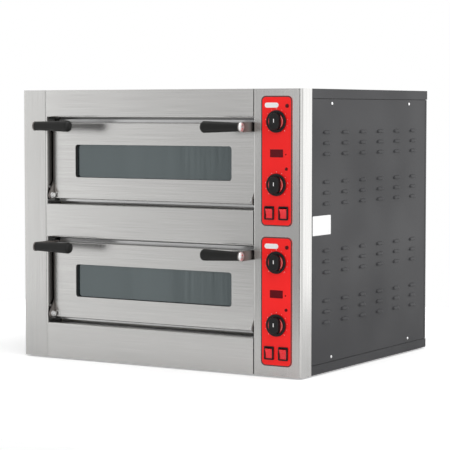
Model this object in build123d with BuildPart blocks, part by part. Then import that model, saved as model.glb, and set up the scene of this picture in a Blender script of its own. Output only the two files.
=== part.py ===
from build123d import *
import os

# A double-deck countertop pizza oven, in millimetres. X points to the user's right, Y into the oven and Z up.
# The origin is the centre of the whole object's footprint, at the height of the counter.

# --- casing ---
WIDTH, DEPTH, HEIGHT = 895, 742, 745
FOOT = 4                     # height of the rubber pads under the casing
SHEET = 1.5                  # sheet steel
BEND = 3.5                   # centre-line radius of a fold in the sheet
SEAM = 0.5                   # gap between neighbouring front sheets
GROOVE = 1.6                 # open joint round the painted side and back panels
POST_W, COLUMN_W = 80.5, 143.7
RETURN = 53                  # how far the stainless front wraps round each side
JAMB = 66                    # depth of the folds that line a door opening
RIM = 25                     # height of the rim of the base tray and of the top cover
BACK_WRAP = 12               # how far the back panel wraps round each side
GRIP_REACH, GRIP_R = 57, 15.5    # the grips' axis in front of the casing, and their largest radius
GLAND_PROUD = 24             # how far the cable gland stands out behind

FRONT = -(DEPTH + GLAND_PROUD - GRIP_REACH - GRIP_R) / 2    # Y of the front face
REAR = FRONT + DEPTH
LEFT, RIGHT = -WIDTH / 2, WIDTH / 2
TOP = FOOT + HEIGHT

# --- the two decks: each is named by the height of the sill of its door opening ---
OPENING_W, OPENING_H = WIDTH - POST_W - COLUMN_W, 240
DECK_PITCH = 333
LOWER_SILL = FOOT + 97
DECKS = {"lower": LOWER_SILL, "upper": LOWER_SILL + DECK_PITCH}
MID_X = LEFT + POST_W + OPENING_W / 2      # middle of the doors and chambers

# --- baking chamber, heights above the sill ---
CHAMBER_W, CHAMBER_D = 620, 620
CHAMBER_FLOOR, MOUTH_Z, CHAMBER_CEILING = 30, 58, 212
PLATE_Y = 68                 # front of the chamber's face plate, behind the front face
CHAMBER_REAR = PLATE_Y + SHEET + CHAMBER_D
STONE_T, STONE_GAP = 14, 4
ELEMENT_R = 4
ELEMENT_Y = CHAMBER_REAR + 22      # where the element tubes end, behind the chamber
JACKET = 44                  # thickness of the mineral wool
LAMP_X, LAMP_Z, LAMP_R = 200, 140, 24      # lamp in the chamber's rear wall

# --- door, heights above the sill and depths behind the front face ---
DOOR_W = OPENING_W - 14
SKIN_Y, SKIN_BACK, LINER_Y, DOOR_BACK = 24, 48, 48.2, 64
SKIN_Z, SKIN_H, SKIN_EDGE = 13, 212.5, 2.5
LINER_Z, LINER_H = 5.5, 228.5
PAN_Z, PAN_W, PAN_H = 20, 644, 202
WINDOW_W, WINDOW_H, WINDOW_Z, WINDOW_R = 508, 91, 119, 8
GLASS_T, GLASS_LAP = 4, 9
ARM_T, ARM_W = 4, 25
PIVOT_Y, PIVOT_Z, PIN_R = 13.5, 23, 4
GRIP_Z, GRIP_L, GRIP_MOUNT_R = 216, 117, 11.5
RUNNING = 0.06               # radial clearance of a pin that turns in its hole
CLEAR = 0.3                  # gap between neighbouring pieces

# --- control panels: heights below each panel's top edge ---
PANEL_X = LEFT + 821
PANEL_W, PANEL_H, PANEL_T, PANEL_R = 92, 336, 1, 13
PANEL_RISE = 2               # how far each panel's upper edge stands above the height that the drops count from
PANEL_TOPS = {"lower": FOOT + 360.5, "upper": FOOT + 724.5}
KNOB_DROPS = (64, 227)
KNOB_R, KNOB_SKIRT, KNOB_REACH = 29, 4, 15
SHAFT_R = 3
DISPLAY_DROP, DISPLAY_W, DISPLAY_H = 146, 38, 20
LAMPS = ((31, 24, 5), (27, 149, 1.8), (29, 186, 4))     # offset from the panel's middle, drop and radius
ROCKER_DROP, ROCKER_SPREAD = 300, 21
BEZEL_W, BEZEL_H, BEZEL_T = 28, 35, 4
ROCKER_W, ROCKER_H, ROCKER_TILT = 20, 25, 10
ROCKER_PIVOT_Y, ROCKER_PIN_R = 3, 1.5

# --- louvres in the side panels ---
LOUVRE_L, LOUVRE_H, LOUVRE_OUT = 40, 9, 4
LOUVRE_COLUMNS, LOUVRE_FIRST_Y, LOUVRE_STEP_Y = 6, 133, 103
LOUVRE_TOP_ROWS, LOUVRE_ROWS, LOUVRE_STEP_Z = (186, 318, 498, 628), 3, 28.4

os.makedirs("parts", exist_ok=True)


def front_at(y):
    """Sketch plane that faces the user, y behind the front face; its own axes are X and Z."""
    return Plane.XZ.offset(-(FRONT + y))


def side_at(x):
    """Sketch plane that faces right, at x; its own axes are Y and Z."""
    return Plane.YZ.offset(x)


def write(piece, name):
    """Label a finished piece and write it to a file of its own."""
    piece.label = name
    export_step(piece, f"parts/{name}.step")


# ---------------------------------------------------------------- stainless front

with BuildPart() as left_post:
    with BuildSketch(Plane.XY.offset(FOOT)):
        with BuildLine():
            FilletPolyline(
                (LEFT + SHEET / 2, FRONT + RETURN),
                (LEFT + SHEET / 2, FRONT + SHEET / 2),
                (LEFT + POST_W - SHEET / 2, FRONT + SHEET / 2),
                (LEFT + POST_W - SHEET / 2, FRONT + JAMB),
                radius=BEND,
            )
        trace(line_width=SHEET)
    extrude(amount=HEIGHT)
    for sill in DECKS.values():
        with BuildSketch(side_at(LEFT + POST_W)):
            with Locations((FRONT + PIVOT_Y, sill + PIVOT_Z)):
                Circle(PIN_R + 2)
        extrude(amount=-2 * SHEET, mode=Mode.SUBTRACT)
write(left_post.part, "left_post")

with BuildPart() as control_column:
    with BuildSketch(Plane.XY.offset(FOOT)):
        with BuildLine():
            FilletPolyline(
                (RIGHT - SHEET / 2, FRONT + RETURN),
                (RIGHT - SHEET / 2, FRONT + SHEET / 2),
                (RIGHT - COLUMN_W + SHEET / 2, FRONT + SHEET / 2),
                (RIGHT - COLUMN_W + SHEET / 2, FRONT + JAMB),
                radius=[2 * BEND, BEND],
            )
        trace(line_width=SHEET)
    extrude(amount=HEIGHT)
    for sill in DECKS.values():
        with BuildSketch(side_at(RIGHT - COLUMN_W)):
            with Locations((FRONT + PIVOT_Y, sill + PIVOT_Z)):
                Circle(PIN_R + 2)
        extrude(amount=2 * SHEET, mode=Mode.SUBTRACT)
    for top in PANEL_TOPS.values():
        with BuildSketch(front_at(0)):
            for drop in KNOB_DROPS:
                with Locations((PANEL_X, top - drop)):
                    Circle(SHAFT_R + 3)
            for x, drop, radius in LAMPS:
                with Locations((PANEL_X + x, top - drop)):
                    Circle(radius + 0.2)
            with Locations((PANEL_X, top - DISPLAY_DROP)):
                Rectangle(DISPLAY_W + 1, DISPLAY_H + 1)
            for side in (-1, 1):
                with Locations((PANEL_X + side * ROCKER_SPREAD, top - ROCKER_DROP)):
                    Rectangle(BEZEL_W - 3, BEZEL_H - 3)
        extrude(amount=-2 * SHEET, mode=Mode.SUBTRACT)
write(control_column.part, "control_column")

# Each fascia is one sheet, folded back above or below a door opening.
HALF = SHEET / 2
upper_sill = DECKS["upper"]
LOWER_LINTEL, UPPER_LINTEL = LOWER_SILL + OPENING_H, upper_sill + OPENING_H
FASCIAS = {
    "bottom_fascia": [(HALF, FOOT), (HALF, LOWER_SILL - HALF), (JAMB, LOWER_SILL - HALF)],
    "middle_fascia": [
        (JAMB, LOWER_LINTEL + HALF),
        (HALF, LOWER_LINTEL + HALF),
        (HALF, upper_sill - HALF),
        (JAMB, upper_sill - HALF),
    ],
    "top_fascia": [(JAMB, UPPER_LINTEL + HALF), (HALF, UPPER_LINTEL + HALF), (HALF, TOP)],
}
for name, corners in FASCIAS.items():
    with BuildPart() as fascia:
        with BuildSketch(side_at(MID_X)):
            with BuildLine():
                FilletPolyline([(FRONT + y, z) for y, z in corners], radius=BEND)
            trace(line_width=SHEET)
        extrude(amount=OPENING_W / 2 - SEAM, both=True)
    write(fascia.part, name)


# ---------------------------------------------------------------- casing

INNER_FRONT = FRONT + SHEET + 2 * BEND      # behind the bends of the front sheets
WRAP_Y = FRONT + RETURN + SEAM              # just behind the side returns
for name, outer, inward in (("base_tray", FOOT, 1), ("top_cover", TOP, -1)):
    with BuildPart() as pan:
        with BuildSketch(Plane.XY.offset(outer)):
            with Locations((0, (WRAP_Y + REAR) / 2)):
                Rectangle(WIDTH, REAR - WRAP_Y)
            with Locations((0, (INNER_FRONT + WRAP_Y) / 2)):
                Rectangle(WIDTH - 2 * (SHEET + SEAM), WRAP_Y - INNER_FRONT)
            for jamb_x in (LEFT + POST_W - SHEET / 2, RIGHT - COLUMN_W + SHEET / 2):
                with Locations((jamb_x, (INNER_FRONT + FRONT + JAMB) / 2)):
                    Rectangle(SHEET + 2 * SEAM, FRONT + JAMB - INNER_FRONT + 2 * SEAM, mode=Mode.SUBTRACT)
        extrude(amount=inward * SHEET)
        with BuildSketch(Plane.XY.offset(outer)):
            with Locations((0, (WRAP_Y + REAR) / 2)):
                Rectangle(WIDTH, REAR - WRAP_Y)
            with Locations((0, (WRAP_Y + REAR) / 2 - SHEET)):
                Rectangle(WIDTH - 2 * SHEET, REAR - WRAP_Y, mode=Mode.SUBTRACT)
        extrude(amount=inward * RIM)
        rim_edges = pan.edges().filter_by(Axis.Y).group_by(Axis.X)
        outer_edges = [edge for group in (rim_edges[0], rim_edges[-1]) for edge in group]
        fillet([edge for edge in outer_edges if abs(edge.center().Z - outer) < SEAM], SHEET)
    write(pan.part, name)

PANEL_LOW, PANEL_HIGH = FOOT + RIM + GROOVE, TOP - RIM - GROOVE
SIDE_FRONT, SIDE_BACK = WRAP_Y, REAR - BACK_WRAP - GROOVE
LOUVRE_YS = [FRONT + LOUVRE_FIRST_Y + column * LOUVRE_STEP_Y for column in range(LOUVRE_COLUMNS)]
LOUVRE_ZS = [FOOT + top - row * LOUVRE_STEP_Z for top in LOUVRE_TOP_ROWS for row in range(LOUVRE_ROWS)]

# The right side panel: a sheet with rows of pressed louvres that lean out and are open below.
with BuildPart() as right_side_panel:
    with BuildSketch(side_at(RIGHT)):
        with Locations(((SIDE_FRONT + SIDE_BACK) / 2, (PANEL_LOW + PANEL_HIGH) / 2)):
            Rectangle(SIDE_BACK - SIDE_FRONT, PANEL_HIGH - PANEL_LOW)
    extrude(amount=-SHEET)
    for y in LOUVRE_YS:
        with BuildSketch(Plane.XZ.offset(-(y + LOUVRE_L / 2))):
            for z in LOUVRE_ZS:
                with BuildLine():
                    Polyline(
                        (RIGHT - HALF, z + LOUVRE_H),
                        (RIGHT, z + LOUVRE_H),
                        (RIGHT + LOUVRE_OUT, z),
                        (RIGHT - HALF, z),
                        close=True,
                    )
                make_face()
        extrude(amount=LOUVRE_L)
write(right_side_panel.part, "right_side_panel")

with BuildPart() as left_side_panel:
    mirror(right_side_panel.part, about=Plane.YZ)
write(left_side_panel.part, "left_side_panel")

GLAND_X, GLAND_Z, GLAND_R, CABLE_R = RIGHT - 70, FOOT + 130, 12.5, 6.5
VENT_X, VENT_Z, VENT_W, VENT_H, VENT_STEP = RIGHT - 90, TOP - 130, 5, 70, 12
with BuildPart() as back_panel:
    with BuildSketch(Plane.XY.offset(PANEL_LOW)):
        with BuildLine():
            FilletPolyline(
                (LEFT + HALF, REAR - BACK_WRAP),
                (LEFT + HALF, REAR - HALF),
                (RIGHT - HALF, REAR - HALF),
                (RIGHT - HALF, REAR - BACK_WRAP),
                radius=BEND,
            )
        trace(line_width=SHEET)
    extrude(amount=PANEL_HIGH - PANEL_LOW)
    with BuildSketch(front_at(DEPTH - 2 * SHEET)):
        with Locations((GLAND_X, GLAND_Z)):
            Circle(GLAND_R + CLEAR)
        for side in (-1, 1):
            with Locations((side * VENT_X, VENT_Z)):
                with GridLocations(VENT_STEP, 0, 9, 1):
                    SlotOverall(VENT_H, VENT_W, rotation=90)
    extrude(amount=-3 * SHEET, mode=Mode.SUBTRACT)
write(back_panel.part, "back_panel")

# Corner angles stand in the tray, and two cross rails carry each chamber.
ANGLE, ANGLE_T = 25, 2
FRAME_X = WIDTH / 2 - SHEET - BEND
FRAME_FRONT, FRAME_BACK = FRONT + PLATE_Y + 12, REAR - SHEET - BEND
FRAME_LOW, FRAME_HIGH = FOOT + SHEET + CLEAR, TOP - SHEET - CLEAR
with BuildPart() as chassis_frame:
    with BuildSketch(Plane.XY.offset(FRAME_LOW)):
        for x_side in (-1, 1):
            for y_side, y in ((-1, FRAME_FRONT), (1, FRAME_BACK)):
                with Locations((x_side * (FRAME_X - ANGLE / 2), y - y_side * ANGLE_T / 2)):
                    Rectangle(ANGLE, ANGLE_T)
                with Locations((x_side * (FRAME_X - ANGLE_T / 2), y - y_side * ANGLE / 2)):
                    Rectangle(ANGLE_T, ANGLE)
    extrude(amount=FRAME_HIGH - FRAME_LOW)
    for sill in DECKS.values():
        rail_top = sill + CHAMBER_FLOOR - SHEET - JACKET - CLEAR
        for y in (FRAME_FRONT + ANGLE / 2, FRAME_BACK - ANGLE / 2):
            with BuildSketch(side_at(0)):
                with Locations((y, rail_top - ANGLE / 2)):
                    Rectangle(ANGLE, ANGLE)
                    Rectangle(ANGLE - 2 * ANGLE_T, ANGLE - 2 * ANGLE_T, mode=Mode.SUBTRACT)
            extrude(amount=FRAME_X - ANGLE_T, both=True)
write(chassis_frame.part, "chassis_frame")

SCREW_R, SCREW_H = 4.2, 2.2
SIDE_SCREWS = [(FRONT + y, FOOT + z) for y in (160, 620) for z in (38.5, 707)]
BACK_SCREWS = [(x, z) for x in (LEFT + 40, 0, RIGHT - 40) for z in (PANEL_LOW + 12, PANEL_HIGH - 12)]
with BuildPart() as casing_screws:
    for x, outward in ((RIGHT, 1), (LEFT, -1)):
        with BuildSketch(side_at(x)):
            with Locations(*SIDE_SCREWS):
                Circle(SCREW_R)
        extrude(amount=outward * SCREW_H)
    with BuildSketch(front_at(DEPTH)):
        with Locations(*BACK_SCREWS):
            Circle(SCREW_R)
    extrude(amount=-SCREW_H)
    by_x = casing_screws.edges().group_by(Axis.X)
    fillet(by_x[0] + by_x[-1] + casing_screws.edges().group_by(Axis.Y)[-1], 0.7 * SCREW_H)
write(casing_screws.part, "casing_screws")

FOOT_R, FOOT_INSET = 20, 75
with BuildPart() as rubber_feet:
    with BuildSketch(Plane.XY):
        with Locations((0, (FRONT + REAR) / 2)):
            with GridLocations(WIDTH - 2 * FOOT_INSET, DEPTH - 2 * FOOT_INSET, 2, 2):
                Circle(FOOT_R)
    extrude(amount=FOOT)
    chamfer(rubber_feet.faces().filter_by(Axis.Z).group_by(Axis.Z)[0].edges(), FOOT / 4)
write(rubber_feet.part, "rubber_feet")


# ---------------------------------------------------------------- the inside of each deck

MOUTH_H = CHAMBER_CEILING - MOUTH_Z
CHAMBER_H = CHAMBER_CEILING - CHAMBER_FLOOR
SEAL_W, SEAL_T = 9, PLATE_Y - DOOR_BACK - CLEAR
STONE_W = (CHAMBER_W - STONE_GAP) / 2 - 2
ELEMENT_ROWS = {"bottom": CHAMBER_FLOOR + 14, "top": CHAMBER_CEILING - 12}
ELEMENT_LEGS, ELEMENT_BEND = 6, 40

for deck, sill in DECKS.items():
    mouth_middle = sill + (MOUTH_Z + CHAMBER_CEILING) / 2
    chamber_middle = sill + (CHAMBER_FLOOR + CHAMBER_CEILING) / 2
    with BuildPart() as chamber:
        with BuildSketch(front_at(PLATE_Y)):
            with Locations((MID_X, sill + OPENING_H / 2)):
                Rectangle(OPENING_W - 2 * SEAM, OPENING_H - 2 * SEAM)
            with Locations((MID_X, mouth_middle)):
                Rectangle(CHAMBER_W, MOUTH_H, mode=Mode.SUBTRACT)
        extrude(amount=-SHEET)
        with BuildSketch(front_at(PLATE_Y + SHEET)):
            with Locations((MID_X, chamber_middle)):
                Rectangle(CHAMBER_W + 2 * SHEET, CHAMBER_H + 2 * SHEET)
                Rectangle(CHAMBER_W, CHAMBER_H, mode=Mode.SUBTRACT)
        extrude(amount=-CHAMBER_D)
        with BuildSketch(front_at(CHAMBER_REAR)):
            with Locations((MID_X, chamber_middle)):
                Rectangle(CHAMBER_W + 2 * SHEET, CHAMBER_H + 2 * SHEET)
            with Locations((MID_X + LAMP_X, sill + LAMP_Z)):
                Circle(LAMP_R + CLEAR, mode=Mode.SUBTRACT)
            for height in ELEMENT_ROWS.values():
                for side in (-1, 1):
                    with Locations((MID_X + side * CHAMBER_W * 0.42, sill + height)):
                        Circle(ELEMENT_R + CLEAR, mode=Mode.SUBTRACT)
        extrude(amount=-SHEET)
    write(chamber.part, f"{deck}_chamber")

    with BuildPart() as baking_stones:
        with BuildSketch(Plane.XY.offset(sill + MOUTH_Z + 2)):
            with Locations((MID_X, FRONT + PLATE_Y + SHEET + CHAMBER_D / 2)):
                with GridLocations(STONE_W + STONE_GAP, 0, 2, 1):
                    Rectangle(STONE_W, CHAMBER_D - 4)
        extrude(amount=STONE_T)
        chamfer(baking_stones.faces().filter_by(Axis.Z).group_by(Axis.Z)[-1].edges(), 1.5)
    write(baking_stones.part, f"{deck}_baking_stones")

    # Two hairpin tubes: one under the stones and one below the ceiling, their ends through the rear wall.
    leg_step = 2 * CHAMBER_W * 0.42 / (ELEMENT_LEGS - 1)
    near, far = FRONT + PLATE_Y + 45, FRONT + CHAMBER_REAR - 35
    with BuildPart() as heating_elements:
        for height in ELEMENT_ROWS.values():
            turns = [(MID_X - CHAMBER_W * 0.42, FRONT + ELEMENT_Y)]
            for leg in range(ELEMENT_LEGS):
                x = MID_X - CHAMBER_W * 0.42 + leg * leg_step
                ends = (far, near) if leg % 2 == 0 else (near, far)
                turns += [(x, y) for y in ends]
            turns[1:2] = []
            turns[-1] = (MID_X + CHAMBER_W * 0.42, FRONT + ELEMENT_Y)
            with BuildLine(Plane.XY.offset(sill + height)) as tube_path:
                FilletPolyline(*turns, radius=ELEMENT_BEND)
            with BuildSketch(Plane(tube_path.wires()[0] @ 0, z_dir=tube_path.wires()[0] % 0)):
                Circle(ELEMENT_R)
            sweep(path=tube_path.wires()[0])
    write(heating_elements.part, f"{deck}_heating_elements")

with BuildPart() as stone_supports:
    for sill in DECKS.values():
        with BuildSketch(front_at(PLATE_Y + 2 * SHEET)):
            for side in (-1, 1):
                with Locations((MID_X + side * (CHAMBER_W / 2 - 6 - CLEAR), sill + MOUTH_Z + 1)):
                    Rectangle(12, 2)
            with Locations((MID_X, sill + MOUTH_Z - 2)):
                Rectangle(20, 8)
        extrude(amount=-(CHAMBER_D - 2 * SHEET))
write(stone_supports.part, "stone_supports")

with BuildPart() as chamber_insulation:
    for sill in DECKS.values():
        chamber_middle = sill + (CHAMBER_FLOOR + CHAMBER_CEILING) / 2
        hollow_w, hollow_h = CHAMBER_W + 2 * (SHEET + CLEAR), CHAMBER_H + 2 * (SHEET + CLEAR)
        with BuildSketch(front_at(PLATE_Y + SHEET + CLEAR)):
            with Locations((MID_X, chamber_middle)):
                Rectangle(hollow_w + 2 * JACKET - 2, hollow_h + 2 * JACKET - 2)
        extrude(amount=-(CHAMBER_D + JACKET - 2))
        with BuildSketch(front_at(PLATE_Y + SHEET + CLEAR)):
            with Locations((MID_X, chamber_middle)):
                Rectangle(hollow_w, hollow_h)
        extrude(amount=-(CHAMBER_D + SHEET), mode=Mode.SUBTRACT)
        with BuildSketch(front_at(CHAMBER_REAR)):
            with Locations((MID_X + LAMP_X, sill + LAMP_Z)):
                Circle(LAMP_R + 4)
            for height in ELEMENT_ROWS.values():
                for side in (-1, 1):
                    with Locations((MID_X + side * CHAMBER_W * 0.42, sill + height)):
                        Circle(2 * ELEMENT_R)
        extrude(amount=-(JACKET + SHEET), mode=Mode.SUBTRACT)
write(chamber_insulation.part, "chamber_insulation")

with BuildPart() as door_seals:
    for sill in DECKS.values():
        with BuildSketch(front_at(PLATE_Y)):
            with Locations((MID_X, sill + (MOUTH_Z + CHAMBER_CEILING) / 2 - 2)):
                RectangleRounded(CHAMBER_W + 2 * SEAL_W, MOUTH_H + 2 * SEAL_W + 4, SEAL_W)
                RectangleRounded(CHAMBER_W + 1, MOUTH_H + 5, 2, mode=Mode.SUBTRACT)
        extrude(amount=SEAL_T)
    fillet(door_seals.faces().sort_by(Axis.Y)[:2].edges(), SEAL_T / 3)
write(door_seals.part, "door_seals")

with BuildPart() as lamp_holders:
    for sill in DECKS.values():
        with BuildSketch(front_at(CHAMBER_REAR - 2)):
            with Locations((MID_X + LAMP_X, sill + LAMP_Z)):
                Circle(LAMP_R)
                Circle(LAMP_R - 2, mode=Mode.SUBTRACT)
        extrude(amount=-42)
        with BuildSketch(front_at(CHAMBER_REAR + 40)):
            with Locations((MID_X + LAMP_X, sill + LAMP_Z)):
                Circle(LAMP_R)
        extrude(amount=2)
        with BuildSketch(front_at(CHAMBER_REAR + 38)):
            with Locations((MID_X + LAMP_X, sill + LAMP_Z)):
                Circle(LAMP_R / 2)
        extrude(amount=26)
write(lamp_holders.part, "lamp_holders")

LENS_OUT = 9
with BuildPart() as lamp_lenses:
    for sill in DECKS.values():
        with BuildSketch(front_at(CHAMBER_REAR - 2 - CLEAR)):
            with Locations((MID_X + LAMP_X, sill + LAMP_Z)):
                Circle(LAMP_R + 4)
        extrude(amount=LENS_OUT)
    fillet(lamp_lenses.edges().group_by(Axis.Y)[0], LENS_OUT * 0.8)
write(lamp_lenses.part, "lamp_lenses")


# ---------------------------------------------------------------- doors

HALF_DOOR = DOOR_W / 2
BRACKET_T = 5
JAMB_X = OPENING_W / 2          # the opening's edge, from the middle of the door
BRACKET_X = JAMB_X + SHEET      # outer sides of the parts, all measured from the middle of the door
PIN_END = BRACKET_X + BRACKET_T + 2

with BuildPart() as hinge_brackets:
    for sill in DECKS.values():
        with BuildSketch(side_at(MID_X - BRACKET_X)):
            with Locations((FRONT + 20, sill + 32)):
                RectangleRounded(32, 48, 4)
            with Locations((FRONT + PIVOT_Y, sill + PIVOT_Z)):
                Circle(PIN_R + RUNNING, mode=Mode.SUBTRACT)
        extrude(amount=-BRACKET_T)
        with Locations(Plane((MID_X - JAMB_X, FRONT + 12, sill + 46), z_dir=(1, 0, 0))):
            Cylinder(3.5, 1.5, align=(Align.CENTER, Align.CENTER, Align.MIN))
    mirror(about=Plane.YZ.offset(MID_X))
write(hinge_brackets.part, "hinge_brackets")

for deck, sill in DECKS.items():
    window = Location((MID_X, sill + WINDOW_Z))
    with BuildPart() as door_skin:
        with BuildSketch(front_at(SKIN_BACK)):
            with Locations((MID_X, sill + SKIN_Z + SKIN_H / 2)):
                Rectangle(DOOR_W, SKIN_H)
        extrude(amount=SKIN_BACK - SKIN_Y)
        fillet(door_skin.faces().sort_by(Axis.Y)[0].edges(), SKIN_EDGE)
        offset(amount=-SHEET, openings=door_skin.faces().sort_by(Axis.Y)[-1])
        with BuildSketch(front_at(SKIN_Y - 1)):
            with Locations(window):
                RectangleRounded(WINDOW_W, WINDOW_H, WINDOW_R)
        extrude(amount=-2 * SHEET, mode=Mode.SUBTRACT)
    write(door_skin.part, f"{deck}_door_skin")

    pan_middle = (MID_X, sill + PAN_Z + PAN_H / 2)
    with BuildPart() as door_liner:
        with BuildSketch(front_at(LINER_Y)):
            with Locations((MID_X, sill + LINER_Z + LINER_H / 2)):
                RectangleRounded(DOOR_W - 2, LINER_H, 3)
        extrude(amount=-SHEET)
        with BuildSketch(front_at(LINER_Y)):
            with Locations(pan_middle):
                RectangleRounded(PAN_W, PAN_H, 6)
        extrude(amount=-(DOOR_BACK - LINER_Y))
        with BuildSketch(front_at(LINER_Y)):
            with Locations(pan_middle):
                RectangleRounded(PAN_W - 2 * SHEET, PAN_H - 2 * SHEET, 6 - SHEET)
        extrude(amount=-(DOOR_BACK - LINER_Y - SHEET), mode=Mode.SUBTRACT)
        with BuildSketch(front_at(LINER_Y)):
            with Locations(window):
                RectangleRounded(WINDOW_W, WINDOW_H, WINDOW_R)
        extrude(amount=-(DOOR_BACK - LINER_Y), mode=Mode.SUBTRACT)
    write(door_liner.part, f"{deck}_door_liner")

    frame_front, frame_back = SKIN_Y + SHEET + CLEAR, DOOR_BACK - SHEET - CLEAR
    frame_w, frame_h = WINDOW_W + 2 * (GLASS_LAP + SHEET), WINDOW_H + 2 * (GLASS_LAP + SHEET)
    outer_glass, inner_glass = frame_front + 8, frame_back - GLASS_T
    with BuildPart() as window_frame:
        with BuildSketch(front_at(frame_front)):
            with Locations(window):
                RectangleRounded(frame_w, frame_h, WINDOW_R + GLASS_LAP)
                Rectangle(frame_w - 2 * SHEET, frame_h - 2 * SHEET, mode=Mode.SUBTRACT)
        extrude(amount=-(frame_back - frame_front))
        with BuildSketch(front_at(outer_glass + GLASS_T)):
            with Locations(window):
                Rectangle(frame_w - SHEET, frame_h - SHEET)
                RectangleRounded(WINDOW_W + 2, WINDOW_H + 2, WINDOW_R, mode=Mode.SUBTRACT)
        extrude(amount=-(inner_glass - outer_glass - GLASS_T))
    write(window_frame.part, f"{deck}_window_frame")

    with BuildPart() as window_gasket:
        with BuildSketch(front_at(outer_glass)):
            with Locations(window):
                Rectangle(WINDOW_W + 2 * GLASS_LAP - CLEAR, WINDOW_H + 2 * GLASS_LAP - CLEAR)
                RectangleRounded(WINDOW_W - 1, WINDOW_H - 1, WINDOW_R, mode=Mode.SUBTRACT)
        extrude(amount=outer_glass - frame_front)
    write(window_gasket.part, f"{deck}_window_gasket")

    with BuildPart() as door_glass:
        for y in (outer_glass, inner_glass):
            with BuildSketch(front_at(y)):
                with Locations(window):
                    Rectangle(WINDOW_W + 2 * GLASS_LAP - CLEAR, WINDOW_H + 2 * GLASS_LAP - CLEAR)
            extrude(amount=-GLASS_T)
    write(door_glass.part, f"{deck}_door_glass")

    with BuildPart() as door_insulation:
        with BuildSketch(front_at(frame_front)):
            with Locations(pan_middle):
                RectangleRounded(PAN_W - 2 * SHEET - 1, PAN_H - 2 * SHEET - 1, 4)
            with Locations(window):
                Rectangle(frame_w + 1, frame_h + 1, mode=Mode.SUBTRACT)
        extrude(amount=-(frame_back - frame_front))
    write(door_insulation.part, f"{deck}_door_insulation")

    # Flat lever arm: a grip bar on top, a rear leg beside the door and a lug on the pivot.
    grip = (FRONT - GRIP_REACH, sill + GRIP_Z)
    leg_y, leg_low = FRONT + 38, sill + 62
    bar_top = sill + GRIP_Z + ARM_W / 2
    with BuildPart() as door_arms:
        with BuildSketch(side_at(MID_X - HALF_DOOR)) as arm_outline:
            with Locations(grip):
                Circle(ARM_W / 2)
            with Locations(((grip[0] + leg_y) / 2, grip[1])):
                Rectangle(leg_y - grip[0], ARM_W)
            with Locations((leg_y, (leg_low + bar_top) / 2)):
                Rectangle(ARM_W, bar_top - leg_low)
            with Locations((leg_y, leg_low)):
                Circle(ARM_W / 2)
            pivot = (FRONT + PIVOT_Y, sill + PIVOT_Z)
            middle = ((pivot[0] + leg_y) / 2, (pivot[1] + leg_low) / 2)
            SlotCenterPoint(middle, pivot, ARM_W - 2)
            inner_corner = (leg_y - ARM_W / 2, grip[1] - ARM_W / 2)
            outer_corner = (leg_y + ARM_W / 2, bar_top)
            for corner in (inner_corner, outer_corner):
                fillet(arm_outline.vertices().sort_by_distance(corner)[0], 8)
            with Locations(pivot):
                Circle(PIN_R + CLEAR / 2, mode=Mode.SUBTRACT)
            with Locations(grip):
                Circle(PIN_R + CLEAR / 2, mode=Mode.SUBTRACT)
        extrude(amount=-ARM_T)
        mirror(about=Plane.YZ.offset(MID_X))
    write(door_arms.part, f"{deck}_door_arms")

    grip_plane = Plane((MID_X - HALF_DOOR, *grip), x_dir=(1, 0, 0), z_dir=(0, -1, 0))
    with BuildPart() as door_grips:
        with BuildSketch(grip_plane):
            with BuildLine():
                Line((0, PIN_R + CLEAR / 2), (0, GRIP_MOUNT_R))
                Line((0, GRIP_MOUNT_R), (GRIP_L - 9, GRIP_R))
                ThreePointArc((GRIP_L - 9, GRIP_R), (GRIP_L - 2.2, 11.5), (GRIP_L, 5))
                Polyline((GRIP_L, 5), (GRIP_L, 0), (GRIP_L / 2, 0), (GRIP_L / 2, PIN_R + CLEAR / 2))
                Line((GRIP_L / 2, PIN_R + CLEAR / 2), (0, PIN_R + CLEAR / 2))
            make_face()
        revolve(axis=Axis((MID_X, *grip), (1, 0, 0)))
        mirror(about=Plane.YZ.offset(MID_X))
    write(door_grips.part, f"{deck}_door_grips")

    # Domed grip bolts outside the arms, and hinge pins held by a washer and a hexagon nut.
    pin_plane = Plane((MID_X, *pivot), x_dir=(-1, 0, 0), z_dir=(0, -1, 0))
    bolt_plane = Plane((MID_X, *grip), x_dir=(-1, 0, 0), z_dir=(0, -1, 0))
    head_x = HALF_DOOR + ARM_T
    bolt_end = HALF_DOOR - GRIP_L / 2 + 4
    with BuildPart() as door_fasteners:
        with BuildSketch(bolt_plane):
            with BuildLine():
                Polyline((head_x + 5, 4), (head_x + 5, 0), (bolt_end, 0), (bolt_end, PIN_R))
                Polyline((bolt_end, PIN_R), (head_x, PIN_R), (head_x, 13))
                ThreePointArc((head_x, 13), (head_x + 3.4, 9.6), (head_x + 5, 4))
            make_face()
        revolve(axis=Axis((MID_X, *grip), (1, 0, 0)))
        with BuildSketch(Plane((MID_X - head_x - 5, *grip), z_dir=(1, 0, 0))):
            RegularPolygon(3, 6)
        extrude(amount=3, mode=Mode.SUBTRACT)
        with BuildSketch(pin_plane):
            with BuildLine():
                Polyline((PIN_END, 0), (HALF_DOOR - 9, 0), (HALF_DOOR - 9, PIN_R), (HALF_DOOR - 2, PIN_R))
                Polyline((HALF_DOOR - 2, PIN_R), (HALF_DOOR - 2, 8), (HALF_DOOR, 8), (HALF_DOOR, PIN_R))
                Polyline((HALF_DOOR, PIN_R), (PIN_END, PIN_R), (PIN_END, 0))
            make_face()
        revolve(axis=Axis((MID_X, *pivot), (1, 0, 0)))
        with BuildSketch(side_at(MID_X - HALF_DOOR + 1.5)):
            with Locations(pivot):
                RegularPolygon(7, 6)
        extrude(amount=6)
        mirror(about=Plane.YZ.offset(MID_X))
    write(door_fasteners.part, f"{deck}_door_fasteners")


# ---------------------------------------------------------------- controls

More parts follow.
